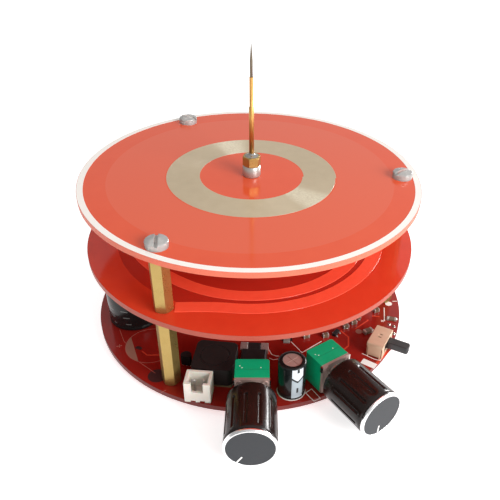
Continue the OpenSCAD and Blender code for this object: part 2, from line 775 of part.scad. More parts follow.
// Side of the folded shell, with a rounded bend at each end of the roof
module shell_side(bend_r) {
    translate([-switch_len / 2, 0]) square([switch_len, switch_h - bend_r]);
    translate([-switch_len / 2 + bend_r, 0]) square([switch_len - 2 * bend_r, switch_h]);
    for (s = [-1, 1]) translate([s * (switch_len / 2 - bend_r), switch_h - bend_r])
        circle(r = bend_r, $fn = 32);
}
module switch_shell() {
    corner = shell_t + 0.15;
    flap_h = switch_h - 1.3;
    color("tan") difference() {
        intersection() {
            linear_extrude(switch_h) round_rect(switch_w, switch_len, 0.2);
            rotate([90, 0, 90]) linear_extrude(2 * switch_w, center = true) shell_side(2 * shell_t);
        }
        translate([-switch_w / 2 + shell_t, -switch_len / 2 + shell_t, -eps])
            cube([switch_w - 2 * shell_t, switch_len - 2 * shell_t, switch_h - shell_t]);
        translate([0, -window_len / 2, lever_z - stop_play])
            cube([switch_w, window_len, lever_h + 2 * stop_play]);
        // Two pierced marks in the roof
        for (s = [-1, 1]) translate([-0.5, 0.65 * s - 0.2, switch_h - 1]) cube([1, 0.4, 2]);
        // Open corners between the folded sides and end flaps
        for (sx = [-1, 1], sy = [-1, 1])
            translate([sx * switch_w / 2 - corner, sy * switch_len / 2 - corner, -eps])
                cube([2 * corner, 2 * corner, flap_h]);
        // Notched ends above the board
        for (s = [-1, 1]) translate([-switch_w / 2 + 0.9, s * switch_len / 2 - 1, -eps])
            cube([switch_w - 1.8, 2, 0.6]);
    }
}
module switch_slider() {
    nose = 0.5;
    color([0.12, 0.12, 0.13]) translate([0, switch_travel / 2, 0]) {
        translate([-switch_w / 2 + shell_t + slide_play, -slide_len / 2, base_t + slide_play])
            cube([switch_w - 2 * shell_t - 2 * slide_play, slide_len, slide_h]);
        translate([switch_w / 2 - shell_t - slide_play - eps, 0, lever_z]) linear_extrude(lever_h)
            polygon([
                [0, -lever_w / 2], [lever_len + shell_t - nose, -lever_w / 2],
                [lever_len + shell_t, -lever_w / 2 + nose], [lever_len + shell_t, lever_w / 2 - nose],
                [lever_len + shell_t - nose, lever_w / 2], [0, lever_w / 2]
            ]);
    }
}
module switch_pins() { color("silver") at_switch() round_leads(switch_leads, base_t); }

// ---- Power header, in a frame at its middle: +X outwards
module header_housing() {
    floor_t = 1.4;
    notch_w = 3.3;
    notch_depth = 3.2;
    color("ivory") at_header() difference() {
        linear_extrude(header_h) round_rect(header_w, header_len, 0.3);
        translate([-header_w / 2 + header_wall, -header_len / 2 + header_wall, floor_t])
            cube([header_w - 2 * header_wall, header_len - 2 * header_wall, header_h]);
        translate([header_w / 2 - header_wall - eps, -notch_w / 2, header_h - notch_depth])
            cube([header_wall + 1, notch_w, notch_depth + 1]);
        // Two recesses at the foot of the front wall
        for (s = [-1, 1]) translate([header_w / 2 - 0.5, s * 1.3 - 0.7, -eps])
            cube([1, 1.4, 0.6]);
        for (p = header_leads) translate([p[0] - pin_w / 2, p[1] - pin_w / 2, -eps])
            cube([pin_w, pin_w, floor_t + 2 * eps]);
    }
}
module header_pins() {
    tip = 0.25;
    pin_len = board_t + lead_out + header_h - 1.6;
    color("silver") at_header() for (p = header_leads)
        translate([p[0], p[1], -board_t - lead_out]) {
            translate([-pin_w / 2, -pin_w / 2, 0]) cube([pin_w, pin_w, pin_len]);
            translate([0, 0, pin_len - eps])
                cylinder(r1 = pin_w / 2, r2 = pin_w / 2 - tip, h = tip * 1.6, $fn = 24);
        }
}

// ---- Standing capacitors
can_foot = 0.05;
// Half outline of a can with its rolled groove, shrunk by t
function can_outline(d, h, t) = let (r = d / 2 - t, z = t + can_foot) [
    [0, z], [r - 0.25, z], [r, z + 0.25], [r, 1.2], [r - 0.2, 1.6], [r, 2],
    [r, h - t - 0.5], [r - 0.5, h - t], [0, h - t]
];
module can(d, h) {
    vent_w = 0.3;
    color("silver") difference() {
        rotate_extrude() polygon(can_outline(d, h, sleeve_t));
        for (a = [25, 115]) rotate(a) translate([-d * 0.3, -vent_w / 2, h - sleeve_t - 0.2])
            cube([d * 0.6, vent_w, 1]);
    }
}
module sleeve(d, h) {
    color([0.1, 0.1, 0.12]) difference() {
        rotate_extrude() polygon(can_outline(d, h, 0));
        rotate_extrude() polygon(can_outline(d, h, sleeve_t));
        translate([0, 0, h - 1]) cylinder(r = d * 0.34, h = 2);
        translate([0, 0, -1]) cylinder(r = d * 0.4, h = 1 + sleeve_t + can_foot + eps);
    }
}
module reservoir_can() { at_big_cap() can(big_cap_d, big_cap_h); }
module reservoir_sleeve() { at_big_cap() sleeve(big_cap_d, big_cap_h); }
module reservoir_leads() { color("silver") at_big_cap() round_leads(big_leads, sleeve_t + can_foot); }
module filter_can() { at_small_cap() can(small_cap_d, small_cap_h); }
module filter_sleeve() { at_small_cap() sleeve(small_cap_d, small_cap_h); }
module filter_leads() { color("silver") at_small_cap() round_leads(small_leads, sleeve_t + can_foot); }

// ---- Power choke: a square moulded ferrite block, its drum's edge just showing
// in the top, on a terminal base
choke_base_t = 0.8;
module choke_core() {
    drum_r = choke_w * 0.34;
    groove_w = 0.15;
    groove_depth = 0.5;
    core_h = choke_h - choke_base_t;
    color([0.16, 0.13, 0.13]) at_choke() translate([0, 0, choke_base_t]) difference() {
        linear_extrude(core_h) round_rect(choke_w, choke_w, 1.8);
        translate([0, 0, core_h - groove_depth]) difference() {
            cylinder(r = drum_r + groove_w, h = groove_depth + 1);
            translate([0, 0, -eps]) cylinder(r = drum_r, h = groove_depth + 1 + 2 * eps);
        }
    }
}
module choke_base() {
    color("darkkhaki") at_choke() {
        linear_extrude(choke_base_t) round_rect(choke_w - 0.4, choke_w - 0.4, 0.6);
    }
}

// ---- Power transistor: a moulded block whose neck stands between two broad
// terminals at the rear
power_depth = 5.6;
neck_depth = 3.2;
neck_w = 3.8;
terminal_play = 0.05;
module power_transistor() {
    edge = 0.4;
    color([0.1, 0.1, 0.11]) at_power() {
        translate([-power_depth / 2, 0, 0]) rotate([90, 0, 90])
            linear_extrude(power_depth) polygon([
                [-power_w / 2, 0], [power_w / 2, 0], [power_w / 2, power_h * 0.55],
                [power_w / 2 - edge, power_h], [-power_w / 2 + edge, power_h],
                [-power_w / 2, power_h * 0.55]
            ]);
        translate([-power_depth / 2 - neck_depth, -neck_w / 2, 0])
            cube([neck_depth + eps, neck_w, power_h - 0.3]);
    }
}
module power_leads() {
    lead_t = 0.5;
    lead_w = power_w / 2 - neck_w / 2 + 0.2;
    color("silver") at_power() for (s = [-1, 1])
        translate([-power_depth / 2 - neck_depth, s * (neck_w / 2 + terminal_play + lead_w / 2), 0]) {
            translate([0, -lead_w / 2, power_h - 0.3 - lead_t])
                cube([neck_depth - terminal_play, lead_w, lead_t]);
            translate([0, -lead_w / 2, 0]) cube([lead_t, lead_w, power_h - 0.3 - eps]);
        }
}

// ---- Signal transistor: a flat-faced moulded body on three leads
signal_r = 1.6;
signal_h = 3.4;
signal_stand = 0.8;
lead_depth = 0.4;
module signal_transistor() {
    color([0.1, 0.1, 0.11]) at_signal() translate([0, 0, signal_stand]) difference() {
        linear_extrude(signal_h) difference() {
            circle(r = signal_r);
            translate([signal_r * 0.55, -signal_r]) square(2 * signal_r);
        }
        for (p = signal_leads_at)
            translate([p[0], p[1], -eps]) cylinder(r = p[2], h = lead_depth + eps, $fn = 24);
    }
}
module signal_leads() {
    color("silver") at_signal() round_leads(signal_leads_at, signal_stand + lead_depth);
}

// ---- Moulded diode with a broad folded terminal at each end
diode_len = 4.3;
diode_w = 3.4;
diode_h = 2.2;
terminal_w = 2.1;
terminal_t = 0.25;
module diode_body() {
    color([0.12, 0.12, 0.13]) at_diode() translate([0, 0, diode_h / 2])
        cube([diode_len, diode_w, diode_h], center = true);
}
module diode_terminals() {
    color("silver") at_diode() for (s = [-1, 1]) scale([s, 1, 1]) translate([diode_len / 2, 0, 0])
        rotate([90, 0, 0]) translate([0, 0, -terminal_w / 2]) linear_extrude(terminal_w) polygon([
            [0, 0], [1.1, 0], [1.1, terminal_t], [terminal_t, terminal_t],
            [terminal_t, diode_h / 2], [0, diode_h / 2]
        ]);
}

// ---- Surface-mounted transistor with three gull-wing legs
sot = [2.9, 1.3, 1];
module gull_wing(w) {
    reach = 0.55;
    t = 0.15;
    rotate([90, 0, 0]) translate([0, 0, -w / 2]) linear_extrude(w) polygon([
        [0, sot[2] / 2], [reach / 2, sot[2] / 2], [reach / 2, t], [reach, t],
        [reach, 0], [reach / 2 - t, 0], [reach / 2 - t, sot[2] / 2 - t], [0, sot[2] / 2 - t]
    ]);
}
module switch_transistor() {
    color([0.12, 0.12, 0.13]) at_switch_transistor() translate([0, 0, sot[2] / 2 + 0.08])
        cube(sot, center = true);
}
module switch_transistor_legs() {
    color("silver") at_switch_transistor() {
        for (s = [-1, 1]) translate([s * 0.95, -sot[1] / 2, 0]) rotate(-90) gull_wing(0.4);
        translate([0, sot[1] / 2, 0]) rotate(90) gull_wing(0.4);
    }
}

// ---- Chip resistors and capacitors
module chip_bodies() {
    color("darkslategray") for (c = chips) on_rim(c[0], c[1], c[2]) let (size = c[3])
        translate([0, 0, size[2] / 2])
            cube([size[0] * (1 - 2 * chip_end), size[1], size[2]], center = true);
}
module chip_ends() {
    color("silver") for (c = chips, s = [-1, 1]) on_rim(c[0], c[1], c[2]) let (size = c[3])
        translate([s * size[0] * (1 - chip_end) / 2, 0, size[2] / 2])
            cube([size[0] * chip_end, size[1], size[2]], center = true);
}

module solder_joints() {
    color("silver") intersection() {
        union() {
            at_left_pot() joints(concat(pot_leads, pot_legs));
            at_right_pot() joints(concat(pot_leads, pot_legs));
            at_switch() joints(switch_leads);
            at_header() joints(header_leads);
            at_big_cap() joints(big_leads);
            at_small_cap() joints(small_leads);
            at_signal() joints(signal_leads_at);
        }
        cylinder(r = board_r - 0.1, h = control_z, $fn = 128);
    }
}

control_board();
primary_board();
secondary_board();
primary_winding();
secondary_winding();
lower_spacers();
upper_spacers();
top_screws();
foot_screws();
electrode_socket();
electrode_nut();
electrode_solder();
electrode_rod();
electrode_needle();
left_pot_body();
left_pot_bracket();
left_pot_bush();
left_pot_pins();
left_shaft();
left_knob();
left_knob_ring();
left_knob_disc();
right_pot_body();
right_pot_bracket();
right_pot_bush();
right_pot_pins();
right_shaft();
right_knob();
right_knob_ring();
right_knob_disc();
at_switch() switch_base();
at_switch() switch_shell();
at_switch() switch_slider();
switch_pins();
header_housing();
header_pins();
reservoir_can();
reservoir_sleeve();
reservoir_leads();
filter_can();
filter_sleeve();
filter_leads();
choke_core();
choke_base();
power_transistor();
power_leads();
signal_transistor();
signal_leads();
diode_body();
diode_terminals();
switch_transistor();
switch_transistor_legs();
chip_bodies();
chip_ends();
solder_joints();
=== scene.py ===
import bpy
import bmesh
import json
import math
from mathutils import Matrix, Vector


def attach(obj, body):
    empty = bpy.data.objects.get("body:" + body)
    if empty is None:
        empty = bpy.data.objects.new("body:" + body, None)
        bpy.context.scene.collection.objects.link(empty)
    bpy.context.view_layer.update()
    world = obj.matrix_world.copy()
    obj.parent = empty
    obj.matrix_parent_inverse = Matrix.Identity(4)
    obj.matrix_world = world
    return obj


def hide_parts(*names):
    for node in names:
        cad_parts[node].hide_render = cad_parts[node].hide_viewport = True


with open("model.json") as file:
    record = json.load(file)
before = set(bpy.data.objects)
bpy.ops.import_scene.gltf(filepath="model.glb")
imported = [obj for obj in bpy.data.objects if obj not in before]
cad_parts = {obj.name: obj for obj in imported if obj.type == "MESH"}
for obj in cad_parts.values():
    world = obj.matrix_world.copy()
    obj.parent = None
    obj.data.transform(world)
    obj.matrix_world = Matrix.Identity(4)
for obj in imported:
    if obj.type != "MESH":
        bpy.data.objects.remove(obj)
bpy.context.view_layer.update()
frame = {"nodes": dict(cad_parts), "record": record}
cad = frame["nodes"]
record = frame["record"]
bodyOf = {node: body for body, nodes in record["behaviour"]["bodies"].items() for node in nodes}
slotOf = {part["node"]: part["material_slot"] for part in record["subparts"]}
mm = 0.001
print("frame loaded with", len(cad), "nodes")

# camera, lights and floor, in metres unless the camera's own millimetres
view = {"position": (12.804, -166.573, 133.998), "target": (12.804, 0.0, 7.951), "roll": 2.434,
        "lens": 44.546, "shift": (-0.08, 0.08)}
skyLook = {"towards": (0.75, 0.1, 0.35), "dim": 0.36, "bright": 0.85}
lamps = [
    {"name": "frontLamp", "power": 3.5, "size": (0.36, 0.24), "at": (0.42, -0.34, 0.27),
     "aim": (0, 0, 0.03), "diffuse": True},
    {"name": "stripLamp", "power": 1.1, "size": (0.22, 0.05), "at": (0.276, 0.205, 0.096),
     "aim": (0.004, -0.058, 0.016), "diffuse": False},
]
floorLook = {"size": 4.0, "low": 0.90, "high": 0.93, "glow": 0.62}


def linear(c):
    c = c / 255
    return c / 12.92 if c <= 0.04045 else ((c + 0.055) / 1.055) ** 2.4


def paint(r, g, b):
    return (linear(r), linear(g), linear(b), 1.0)


class Value:  # a socket that takes part in sums
    def __init__(self, maker, socket):
        self.maker, self.socket = maker, socket

    def sum(self, operation, *terms):
        return self.maker.node("ShaderNodeMath", {"operation": operation}, terms)

    def ease(self, low, high, start=0.0, end=1.0):
        return self.maker.node("ShaderNodeMapRange", {"interpolation_type": "SMOOTHSTEP"},
                               (self, low, high, start, end))


def addSum(name, operation, terms):
    def straight(self, *others):
        return self.sum(operation, self, *others)

    def reflected(self, other):
        return self.sum(operation, other, self)
    setattr(Value, f"__{name}__", straight)
    if terms == 2:
        setattr(Value, f"__r{name}__", reflected)


for name, operation, terms in (("add", "ADD", 2), ("sub", "SUBTRACT", 2), ("mul", "MULTIPLY", 2),
                               ("truediv", "DIVIDE", 2), ("pow", "POWER", 2),
                               ("gt", "GREATER_THAN", 1), ("lt", "LESS_THAN", 1), ("abs", "ABSOLUTE", 1)):
    addSum(name, operation, terms)


class Maker:  # adds nodes to a shader, world or geometry tree
    def __init__(self, tree):
        self.tree = tree

    def node(self, kind, settings=None, inputs=(), out=0):
        made = self.tree.nodes.new(kind)
        for name, value in (settings or {}).items():
            setattr(made, name, value)
        pairs = inputs.items() if isinstance(inputs, dict) else enumerate(inputs)
        for key, value in pairs:
            if isinstance(value, Value):
                self.tree.links.new(value.socket, made.inputs[key])
            elif value is not None:
                made.inputs[key].default_value = value
        return Value(self, made.outputs[out])

    def sum(self, operation, *terms):
        return self.node("ShaderNodeMath", {"operation": operation}, terms)

    def mix(self, share, low, high):
        return self.node("ShaderNodeMix", {"data_type": "RGBA"}, {0: share, 6: low, 7: high}, out=2)

    def vector(self, operation, *terms, out=0):
        return self.node("ShaderNodeVectorMath", {"operation": operation}, terms, out=out)

    def place(self):
        return self.node("ShaderNodeTexCoord", out="Object")

    def noise(self, size, detail=2.0, stretch=None):  # size of a speck in mm
        place = self.place()
        if stretch:
            place = self.vector("MULTIPLY", place, stretch)
        return self.node("ShaderNodeTexNoise", None,
                         {"Vector": place, "Scale": 1 / (size * mm), "Detail": detail})

    def offset(self, centre):
        return self.vector("SUBTRACT", self.place(), tuple(c * mm for c in centre))

    def reach(self, there, way):  # how far a point lies along a direction, in mm
        return self.vector("DOT_PRODUCT", there, way, out="Value") * 1000

    def radius(self, centre=(0, 0, 0), along=(0, 0, 1)):  # distance from an axis, in mm
        there = self.offset(centre)
        depth = self.vector("DOT_PRODUCT", there, along, out="Value")
        scaled = self.node("ShaderNodeVectorMath", {"operation": "SCALE"}, {0: along, "Scale": depth})
        return self.vector("LENGTH", self.vector("SUBTRACT", there, scaled), out="Value") * 1000

    def bump(self, height, depth):  # depth in mm
        return self.node("ShaderNodeBump", None, {"Height": height, "Distance": depth * mm})


def finishOf(name, make, **constants):
    material = bpy.data.materials.new(name)
    material.use_nodes = True
    tree = material.node_tree
    shader = tree.nodes["Principled BSDF"]
    for key, value in constants.items():
        shader.inputs[key.replace("_", " ")].default_value = value
    for key, value in make(Maker(tree)).items():
        tree.links.new(value.socket, shader.inputs[key.replace("_", " ")])
    return material


# finishes
boardLook = {"mottle": 6.0, "edge": (200, 82, 60), "edgePale": (222, 118, 88), "rough": 0.08,
             "edgeRough": 0.35, "rippleDepth": 0.005, "zoneBlur": 0.12, "edgeRadius": 49.93}


def laminate(name, mask, pale, zones, edge=None, edgePale=None):
    # zones: (inner radius, outer radius, colour) laid over the board's own red
    def make(m):
        r = m.radius()
        tone = m.mix(m.noise(boardLook["mottle"], 3), paint(*mask), paint(*pale))
        blur = boardLook["zoneBlur"]
        for low, high, colour in zones:
            band = r.ease(low - blur, low + blur) * r.ease(high - blur, high + blur, 1.0, 0.0)
            tone = m.mix(band, tone, paint(*colour))
        rim = r > boardLook["edgeRadius"]
        weave = m.noise(0.35, 2, (1, 1, 3))
        sides = m.mix(weave, paint(*(edge or boardLook["edge"])),
                      paint(*(edgePale or boardLook["edgePale"])))
        ripple = m.noise(1.6, 2) + m.noise(0.25, 2) * 0.25
        rough = m.noise(2.5, 3) * 0.06 + rim * boardLook["edgeRough"] + boardLook["rough"]
        return {"Base_Color": m.mix(rim, tone, sides), "Roughness": rough + (m.noise(0.7, 4) > 0.66) * 0.05,
                "Normal": m.bump(ripple, boardLook["rippleDepth"])}
    return finishOf(name, make, IOR=1.42)


def metal(name, low, high, rough, grain=0.6, depth=0.006, share=1.0):
    def make(m):
        cloud = m.noise(3.0, 3)
        lines = m.noise(grain, 3)
        scuff = m.noise(0.9, 5) > 0.64
        return {"Base_Color": m.mix(cloud, paint(*low), paint(*high)),
                "Roughness": lines * 0.16 + cloud * 0.08 + scuff * 0.06 + (rough - 0.12),
                "Normal": m.bump(lines, depth)}
    return finishOf(name, make, Metallic=share)


def moulded(name, low, high, rough, grain=0.5, depth=0.01, **constants):
    def make(m):
        cloud = m.noise(2.2, 3)
        fine = m.noise(grain, 3)
        scuff = m.noise(0.8, 5) > 0.66
        return {"Base_Color": m.mix(cloud, paint(*low), paint(*high)),
                "Roughness": fine * 0.12 + scuff * 0.08 + (rough - 0.06), "Normal": m.bump(fine, depth)}
    return finishOf(name, make, **constants)


def spun(name, tones, rough, pitch=0.28, depth=0.004, **constants):
    # fine rings turned about each knob's own shaft
    def make(m):
        height = None
        for centre, along in shafts.values():
            near = m.radius(centre, along)
            height = near if height is None else m.sum("MINIMUM", height, near)
        rings = m.sum("SINE", height * (math.tau / pitch)) * 0.5 + 0.5
        cloud = m.noise(2.5, 3)
        return {"Base_Color": m.mix(cloud, paint(*tones[0]), paint(*tones[1])),
                "Roughness": rings * 0.07 + cloud * 0.08 + rough, "Normal": m.bump(rings, depth)}
    return finishOf(name, make, **constants)


# tin tones, then a painted highlight colour with the bearings, spread and strength of its fans
tinLook = {"low": (184, 165, 135), "high": (197, 179, 150), "bright": (238, 230, 206),
           "highlightBearings": (112.0, -37.0), "spread": 0.965, "glint": 0.6}


def tinned(name):
    # a brushed band with painted highlight fans towards the given bearings, in degrees
    def make(m):
        r = m.radius()
        streak = m.noise(0.5, 3)
        tone = m.mix(m.noise(3.0, 3), paint(*tinLook["low"]), paint(*tinLook["high"]))
        for bearing in tinLook["highlightBearings"]:
            a = math.radians(bearing)
            highlightFan = m.reach(m.place(), (math.cos(a), math.sin(a), 0)) / r
            share = highlightFan.ease(tinLook["spread"], 1.0) * streak.ease(0.3, 0.7, 0.45, 1.0) * tinLook["glint"]
            tone = m.mix(share, tone, paint(*tinLook["bright"]))
        return {"Base_Color": tone, "Roughness": streak * 0.14 + (m.noise(0.9, 5) > 0.64) * 0.05 + 0.3}
    return finishOf(name, make, Metallic=0.1)


# each sleeve's middle line is at a bearing in degrees; lengths are in mm
filterStripe = {"centre": (14.33, -42.34, 4.0), "radius": 4.0, "mid": -64.7, "halfWidth": 1.7,
                "foot": 0.9, "top": 11.6, "apex": 6.97, "rise": 0.82, "lineWidth": 0.36,
                "bar": (0.3, 2.9, 4.7), "notch": (0.35, 0.1, 10.4),
                "pale": (212, 218, 224), "dull": (160, 170, 176), "dark": (20, 24, 25)}
reservoirMarks = {"centre": (-37.0, -11.9, 4.0), "radius": 8.0, "mid": -112.0, "tone": (120, 124, 122),
                  "thickness": 0.35, "dashes": [(-2.9, 7.2, 1.8), (-2.4, 4.7, 1.5), (-1.9, 2.3, 1.3),
                                                (1.9, 7.6, 2.3), (2.4, 5.2, 2.1), (2.9, 2.7, 1.8)]}


def sleeveFrame(m, look):  # arc length from the middle line and height over the board, in mm
    there = m.offset(look["centre"])
    a = math.radians(look["mid"])
    out = m.reach(there, (math.cos(a), math.sin(a), 0))
    side = m.reach(there, (-math.sin(a), math.cos(a), 0))
    return m.sum("ARCTAN2", side, out) * look["radius"], m.reach(there, (0, 0, 1))


def sleeveFinish(name, look, draw):
    def make(m):
        arcLength, height = sleeveFrame(m, look)
        fine = m.noise(0.8, 3)
        tone, share = draw(m, look, arcLength, height)
        return {"Base_Color": m.mix(share, m.mix(fine, paint(15, 18, 18), paint(24, 28, 28)), tone),
                "Roughness": fine * 0.1 + share * 0.12 + (m.noise(0.9, 5) > 0.64) * 0.05 + 0.16,
                "Normal": m.bump(fine, 0.012)}
    return finishOf(name, make, Specular_IOR_Level=0.3)


def drawStripe(m, look, s, h):
    barHalf, barFoot, barTop = look["bar"]
    notchHalf, notchMid, notchFoot = look["notch"]
    across = abs(s)
    stripe = (across < look["halfWidth"]) * (h > look["foot"]) * (h < look["top"])
    over = h - across * look["rise"] - look["apex"]
    tone = m.mix(over > 0, paint(*look["dull"]), paint(*look["pale"]))
    marks = (abs(over) < look["lineWidth"]) + (across < barHalf) * (h > barFoot) * (h < barTop)
    marks = marks + (abs(s - notchMid) < notchHalf) * (h > notchFoot)
    return m.mix(m.sum("MINIMUM", marks, 1.0), tone, paint(*look["dark"])), stripe


def drawDashes(m, look, s, h):
    share = None
    for x, z, w in look["dashes"]:
        dash = (abs(s - x) < w / 2) * (abs(h - z) < look["thickness"] / 2)
        share = dash if share is None else share + dash
    return paint(*look["tone"]), share * 0.7


shafts = {}
for joint in record["behaviour"]["joints"]:
    if joint["type"] == "hinge":
        shafts[joint["child"]] = (tuple(c / mm for c in joint["pos_m"]), tuple(joint["axis"]))

finishes = {
    "topBoard": laminate("topBoardFinish", (220, 80, 46), (226, 88, 52), [(25.3, 42.0, (222, 94, 63))]),
    # the primary board's laminate edge, and a little of its red, are painted darker than the top board's as
    # shade under the top board
    "shadedMidBoard": laminate("shadedMidBoardFinish", (206, 58, 34), (216, 68, 40), [(0, 41.2, (176, 44, 30))],
                         (150, 56, 42), (176, 84, 64)),
    # the control board's red and its laminate edge are painted darker as shade under the boards above
    "shadedLowBoard": laminate("shadedLowBoardFinish", (138, 29, 23), (156, 35, 26), [], (98, 22, 17), (114, 28, 22)),
    "copper": moulded("lacqueredCopperFinish", (238, 84, 58), (245, 94, 66), 0.16, 1.2, 0.01, IOR=1.42),
    "trace": moulded("lacqueredTraceFinish", (206, 62, 42), (220, 78, 54), 0.2, 0.6, 0.01, IOR=1.42),
    "tin": tinned("tinnedTrackFinish"),
    "brass": metal("brassFinish", (164, 138, 78), (180, 154, 94), 0.3, 0.4, 0.004, share=0.8),
    "rodBrass": metal("rodBrassFinish", (194, 148, 82), (208, 162, 96), 0.42, 1.0, 0.001),
    "nylon": moulded("clearNylonFinish", (236, 232, 226), (250, 248, 246), 0.1, 1.1, 0.16,
                     Transmission_Weight=0.6, IOR=1.46),
    "solder": metal("solderFinish", (150, 146, 140), (186, 182, 176), 0.24, 0.9, 0.02),
    "steel": metal("needleSteelFinish", (95, 84, 70), (122, 110, 96), 0.24, 0.4, 0.003),
    "green": moulded("greenMouldingFinish", (0, 160, 108), (2, 174, 120), 0.36, 0.35, 0.008,
                     Specular_IOR_Level=0.3),
    "greenSeam": moulded("greenSeamFinish", (0, 112, 76), (0, 124, 84), 0.4, 0.35, 0.008),
    "plate": metal("bracketPlateFinish", (158, 132, 124), (176, 150, 142), 0.42, 0.3, 0.012, share=0.3),
    "nickel": metal("nickelFinish", (206, 204, 198), (224, 222, 216), 0.2, 0.4, 0.004),
    "knob": moulded("knobFinish", (24, 15, 13), (34, 22, 19), 0.2, 0.3, 0.004, Specular_IOR_Level=0.3),
    "ring": spun("brightRingFinish", ((232, 232, 234), (246, 246, 246)), 0.16, 0.2, 0.002, Metallic=1.0),
    "slate": spun("slateDiscFinish", ((27, 30, 35), (34, 37, 42)), 0.4, Metallic=0.1),
    "tan": metal("tanPlateFinish", (204, 168, 140), (220, 188, 160), 0.46, 0.35, 0.012, share=0.35),
    "phenolic": moulded("phenolicFinish", (92, 56, 34), (112, 70, 44), 0.5, 0.4, 0.01),
    "lever": moulded("leverFinish", (25, 24, 25), (35, 34, 35), 0.42, 0.25, 0.012),
    "white": moulded("headerNylonFinish", (214, 208, 196), (228, 223, 213), 0.36, 0.4, 0.008,
                     Subsurface_Weight=0.2, Subsurface_Scale=0.0012),
    "lead": metal("tinnedLeadFinish", (168, 164, 158), (200, 197, 192), 0.3, 0.5, 0.008, share=0.6),
    # the cans' grey aluminium is tinted pink as a painted reflection of the red boards
    "can": metal("canPaintedReflectionFinish", (196, 170, 160), (216, 190, 180), 0.4, 0.4, 0.006, share=0.6),
    "stripedSleeve": sleeveFinish("filterSleeveFinish", filterStripe, drawStripe),
    "dashedSleeve": sleeveFinish("reservoirSleeveFinish", reservoirMarks, drawDashes),
    "ferrite": moulded("ferriteFinish", (22, 15, 14), (31, 22, 20), 0.6, 0.25, 0.03,
                       Specular_IOR_Level=0.3),
    "tanBase": moulded("chokeBaseFinish", (112, 96, 66), (134, 116, 84), 0.5, 0.3, 0.01),
    "epoxy": moulded("epoxyFinish", (20, 19, 20), (30, 29, 31), 0.42, 0.2, 0.01, Specular_IOR_Level=0.3),
    "chip": moulded("chipFinish", (84, 62, 46), (122, 98, 74), 0.45, 0.3, 0.01),
    "ink": moulded("inkFinish", (244, 236, 228), (250, 244, 238), 0.34, 0.5, 0.004),
    "white_print": moulded("whitePrintFinish", (244, 240, 236), (252, 250, 246), 0.34, 0.5, 0.004),
    "faint": moulded("faintLineFinish", (176, 96, 84), (190, 112, 98), 0.34, 0.5, 0.004),
    "shade": moulded("bareLaminateFinish", (150, 104, 88), (168, 122, 102), 0.4, 0.6, 0.006),
    # dark red for a lead hole and for a painted dark reflection on the control board
    "hole": moulded("boredHoleAndReflectionFinish", (50, 18, 18), (64, 24, 22), 0.5, 0.5, 0.004),
}
print("finishes ready:", len(finishes))


# making pieces
def keep(piece, body, slot, *nodes):
    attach(piece, body)
    if nodes:
        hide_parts(*nodes)
    return piece


def meshPiece(name, mesh, finish):
    mesh.materials.clear()
    mesh.materials.append(finish)
    piece = bpy.data.objects.new(name, mesh)
    bpy.context.scene.collection.objects.link(piece)
    return piece


def smooth(mesh, angle):
    mesh.shade_smooth()
    mesh.set_sharp_from_angle(angle=math.radians(angle))


def build(name, shape, finish, at=Matrix.Scale(mm, 4), angle=32):
    points, faces = shape
    mesh = bpy.data.meshes.new(name)
    bm = bmesh.new()
    made = [bm.verts.new(at @ Vector(p)) for p in points]
    for face in faces:
        bm.faces.new([made[k] for k in face])
    bmesh.ops.remove_doubles(bm, verts=bm.verts, dist=1e-7)
    bmesh.ops.recalc_face_normals(bm, faces=bm.faces)
    bm.to_mesh(mesh)
    bm.free()
    smooth(mesh, angle)
    return meshPiece(name, mesh, finishes[finish])


def soften(node, finish, width=0.0, corner=35):
    # the node's own solid with its doubles merged, smooth faces and eased edges
    mesh = cad[node].data.copy()
    bm = bmesh.new()
    bm.from_mesh(mesh)
    bmesh.ops.remove_doubles(bm, verts=bm.verts, dist=1e-7)
    if width:
        bmesh.ops.dissolve_limit(bm, angle_limit=math.radians(0.6), verts=bm.verts, edges=bm.edges)
    bm.to_mesh(mesh)
    bm.free()
    piece = meshPiece(node + "Eased", mesh, finishes[finish])
    smooth(mesh, corner)
    if width:
        bevel = piece.modifiers.new("edges", "BEVEL")
        bevel.width, bevel.segments, bevel.limit_method = width * mm, 2, "ANGLE"
        bevel.angle_limit = math.radians(corner)
        bevel.harden_normals = True
    return keep(piece, bodyOf[node], slotOf[node], node)


def dress(finish, *nodes):
    for node in nodes:
        slots = cad[node].material_slots
        if not slots:
            cad[node].data.materials.append(finishes[finish])
        for slot in slots:
            slot.material = finishes[finish]


